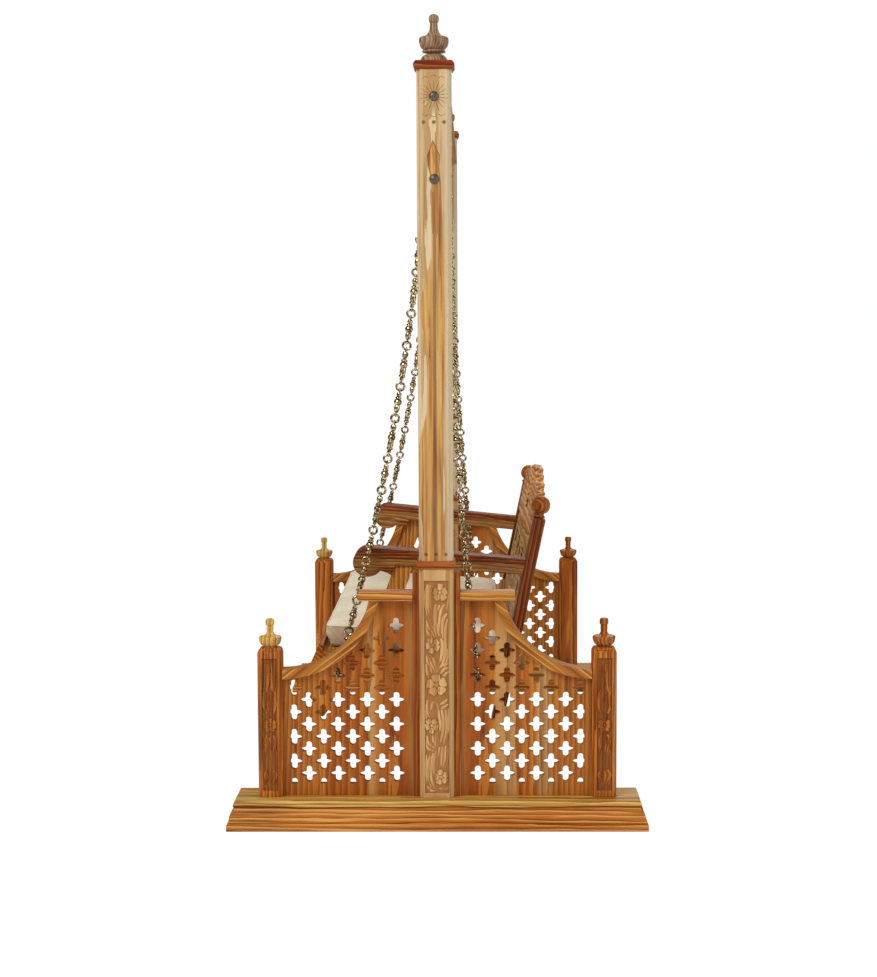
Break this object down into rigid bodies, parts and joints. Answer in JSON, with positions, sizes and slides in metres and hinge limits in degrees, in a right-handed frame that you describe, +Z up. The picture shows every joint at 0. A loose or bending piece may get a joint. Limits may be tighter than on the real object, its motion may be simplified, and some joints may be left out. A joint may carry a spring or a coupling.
{
  "type": "jhoola swing",
  "caption": "Free-standing indoor wooden swing bench with reclined carved back, arms and seat cushion, hung by turned brass chains from a beam on two pierced end frames.",
  "frame": {"origin": "on the floor, in the middle of the stand", "axes": "+X towards the sitter's left along the beam, -Y the way the sitter faces, +Z up"},
  "size_m": [2.072, 1.109, 2.12],
  "materials": {
    "honey_teak": "satin oiled teak, honey orange with lighter bands",
    "pale_teak": "satin oiled teak, pale sapwood with brown streaks",
    "mid_teak": "satin oiled teak, mid brown",
    "dark_teak": "satin oiled teak heartwood, dark brown",
    "maroon_teak": "satin stained moulding, maroon",
    "grey_teak": "satin turned teak, grey brown",
    "antique_brass": "antique brass, polished on the high spots",
    "dark_iron": "dark antique iron",
    "cushion_fabric": "woven cotton, cream with taupe sides"
  },
  "bodies": {
    "stand": {"barrel_nuts": "dark_iron", "beam_bolts": "dark_iron", "beam_mouldings": "maroon_teak", "bracket_screws": "dark_iron", "hanger_pins": "dark_iron", "knee_brackets": "pale_teak", "left_base_board": "honey_teak", "left_corner_finials": "honey_teak", "left_front_corner_post": "honey_teak", "left_front_lattice": "honey_teak", "left_hanger_bracket": "dark_iron", "left_main_post": "pale_teak", "left_panel_stiles": "honey_teak", "left_post_collar": "maroon_teak", "left_rear_corner_post": "honey_teak", "left_rear_lattice": "honey_teak", "left_shelf_rails": "honey_teak", "left_swoop_rails": "honey_teak", "main_finials": "grey_teak", "post_caps": "maroon_teak", "right_base_board": "honey_teak", "right_corner_finials": "honey_teak", "right_front_corner_post": "honey_teak", "right_front_lattice": "honey_teak", "right_hanger_bracket": "dark_iron", "right_main_post": "pale_teak", "right_panel_stiles": "honey_teak", "right_post_collar": "maroon_teak", "right_rear_corner_post": "honey_teak", "right_rear_lattice": "honey_teak", "right_shelf_rails": "honey_teak", "right_swoop_rails": "honey_teak", "top_beam": "pale_teak"},
    "swing": {"back_board": "mid_teak", "ball_finials": "mid_teak", "crest_rail": "mid_teak", "cross_bearers": "mid_teak", "cushion": "cushion_fabric", "eye_bolts": "dark_iron", "front_legs": "mid_teak", "front_rail": "mid_teak", "left_arm": "dark_teak", "left_arm_support": "mid_teak", "left_back_stile": "dark_teak", "left_front_chain": "antique_brass", "left_hanger_yoke": "antique_brass", "left_rear_chain": "antique_brass", "left_seat_rail": "mid_teak", "lower_back_rail": "mid_teak", "rear_rail": "mid_teak", "right_arm": "dark_teak", "right_arm_support": "mid_teak", "right_back_stile": "dark_teak", "right_front_chain": "antique_brass", "right_hanger_yoke": "antique_brass", "right_rear_chain": "antique_brass", "right_seat_rail": "mid_teak", "seat_slats": "mid_teak", "swivel_bushes": "antique_brass"}
  },
  "joints": [
    {"name": "swing", "type": "hinge", "parent": "stand", "child": "swing", "pos_m": [0, 0, 1.858], "axis": [1, 0, 0], "range_deg": [-25, 25]}
  ]
}
